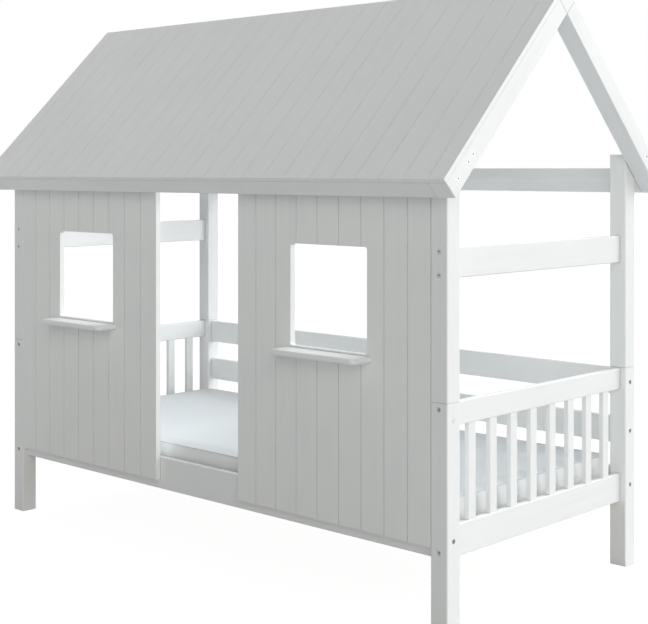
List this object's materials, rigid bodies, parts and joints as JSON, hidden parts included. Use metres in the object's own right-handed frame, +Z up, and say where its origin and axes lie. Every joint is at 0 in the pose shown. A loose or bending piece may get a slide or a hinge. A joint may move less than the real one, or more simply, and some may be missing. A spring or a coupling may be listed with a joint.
{
  "type": "house frame bed",
  "caption": "Child's bed inside a white pitched-roof timber house frame, with a grooved front that has a doorway and windows with sills, slatted end panels and a loose mattress.",
  "frame": {"origin": "on the floor under the middle of the bed: midway between the four legs along X and Y", "axes": "+X along the bed towards the right end as seen from the boarded front, +Y from the boarded front towards the open back, +Z up"},
  "size_m": [2.26, 1.2038, 1.8973],
  "materials": {
    "painted_timber": "satin white paint on planed timber",
    "painted_board": "satin white paint on grooved board",
    "bare_timber": "planed and unpainted",
    "zinc_steel": "zinc plated",
    "white_plastic": "moulded, matte",
    "mattress_cover": "knitted cover, matte"
  },
  "bodies": {
    "frame": {"bed_bolts": "zinc_steel", "cross_rail_bolts": "zinc_steel", "cross_rail_left": "painted_timber", "cross_rail_right": "painted_timber", "dowels": "bare_timber", "eave_beam_back": "painted_timber", "eave_beam_front": "painted_timber", "end_bottom_rail_left": "painted_timber", "end_bottom_rail_right": "painted_timber", "end_top_rail_left": "painted_timber", "end_top_rail_right": "painted_timber", "facade_panel_left": "painted_board", "facade_panel_right": "painted_board", "guard_rail_lower": "painted_timber", "guard_rail_upper": "painted_timber", "hole_caps": "white_plastic", "insert_nuts": "zinc_steel", "leg_back_left": "painted_timber", "leg_back_right": "painted_timber", "leg_front_left": "painted_timber", "leg_front_right": "painted_timber", "post_back_left": "painted_timber", "post_back_right": "painted_timber", "post_front_left": "painted_timber", "post_front_right": "painted_timber", "rafter_back_left": "painted_timber", "rafter_back_right": "painted_timber", "rafter_front_left": "painted_timber", "rafter_front_right": "painted_timber", "rafter_screws": "zinc_steel", "ridge_beam": "painted_timber", "roof_panel_1": "painted_board", "roof_panel_2": "painted_board", "roof_panel_3": "painted_board", "roof_panel_4": "painted_board", "side_rail_back": "painted_timber", "side_rail_front": "painted_timber", "slat_ledger_back": "bare_timber", "slat_ledger_front": "bare_timber", "slats": "bare_timber", "spindle_left_1": "painted_timber", "spindle_left_2": "painted_timber", "spindle_left_3": "painted_timber", "spindle_left_4": "painted_timber", "spindle_left_5": "painted_timber", "spindle_left_6": "painted_timber", "spindle_left_7": "painted_timber", "spindle_left_8": "painted_timber", "spindle_right_1": "painted_timber", "spindle_right_2": "painted_timber", "spindle_right_3": "painted_timber", "spindle_right_4": "painted_timber", "spindle_right_5": "painted_timber", "spindle_right_6": "painted_timber", "spindle_right_7": "painted_timber", "spindle_right_8": "painted_timber", "window_sill_left": "painted_board", "window_sill_right": "painted_board", "wood_screws": "zinc_steel"},
    "mattress": {"mattress": "mattress_cover"}
  },
  "joints": [
    {"name": "mattress_lift", "type": "slide", "parent": "frame", "child": "mattress", "axis": [0, 0, 1], "range_m": [0, 0.4]}
  ]
}
